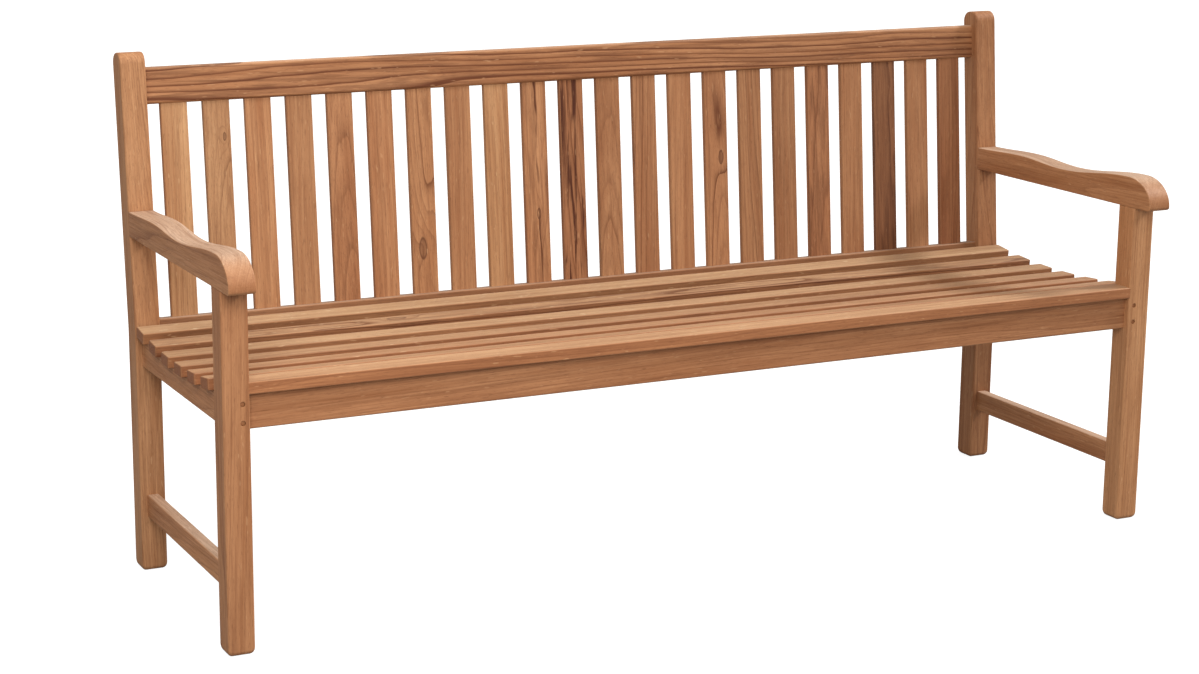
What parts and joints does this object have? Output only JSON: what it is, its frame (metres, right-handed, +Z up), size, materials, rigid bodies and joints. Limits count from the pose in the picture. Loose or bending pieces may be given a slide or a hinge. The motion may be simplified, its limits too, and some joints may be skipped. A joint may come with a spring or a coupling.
{
  "type": "garden bench",
  "caption": "Slatted hardwood garden bench with a dished seat, an upright-slat back that leans between square posts, scrolled armrests and low side stretchers.",
  "frame": {"origin": "on the ground, under the middle of the bench's overall box", "axes": "+X along the bench to the right as seen from its front, +Y towards the back (a sitter faces -Y), +Z up"},
  "size_m": [1.8, 0.6042, 0.91],
  "materials": {
    "teak_frame": "planed and lightly oiled teak, matte, long edges eased",
    "teak_seat": "planed and lightly oiled teak, matte, paler on its worn top",
    "teak_back": "planed and lightly oiled teak, matte, each slat a different tone",
    "teak_peg": "turned hardwood peg, end grain outward, a little darker than the posts"
  },
  "bodies": {
    "root": {"left_front_leg": "teak_frame", "right_front_leg": "teak_frame", "left_rear_leg": "teak_frame", "right_rear_leg": "teak_frame", "left_armrest": "teak_frame", "right_armrest": "teak_frame", "left_side_rail": "teak_frame", "right_side_rail": "teak_frame", "left_stretcher": "teak_frame", "right_stretcher": "teak_frame", "left_seat_bearer": "teak_frame", "right_seat_bearer": "teak_frame", "front_apron": "teak_frame", "top_back_rail": "teak_frame", "lower_back_rail": "teak_frame", "front_seat_slat": "teak_seat", "seat_slat_1": "teak_seat", "seat_slat_2": "teak_seat", "seat_slat_3": "teak_seat", "seat_slat_4": "teak_seat", "seat_slat_5": "teak_seat", "seat_slat_6": "teak_seat", "back_slat_01": "teak_back", "back_slat_02": "teak_back", "back_slat_03": "teak_back", "back_slat_04": "teak_back", "back_slat_05": "teak_back", "back_slat_06": "teak_back", "back_slat_07": "teak_back", "back_slat_08": "teak_back", "back_slat_09": "teak_back", "back_slat_10": "teak_back", "back_slat_11": "teak_back", "back_slat_12": "teak_back", "back_slat_13": "teak_back", "back_slat_14": "teak_back", "back_slat_15": "teak_back", "back_slat_16": "teak_back", "back_slat_17": "teak_back", "back_slat_18": "teak_back", "back_slat_19": "teak_back", "back_slat_20": "teak_back", "back_slat_21": "teak_back", "back_slat_22": "teak_back", "left_apron_peg_upper": "teak_peg", "left_apron_peg_lower": "teak_peg", "left_lower_rail_peg_upper": "teak_peg", "left_lower_rail_peg_lower": "teak_peg", "left_top_rail_peg_upper": "teak_peg", "left_top_rail_peg_lower": "teak_peg", "right_apron_peg_upper": "teak_peg", "right_apron_peg_lower": "teak_peg", "right_lower_rail_peg_upper": "teak_peg", "right_lower_rail_peg_lower": "teak_peg", "right_top_rail_peg_upper": "teak_peg", "right_top_rail_peg_lower": "teak_peg"}
  },
  "joints": []
}
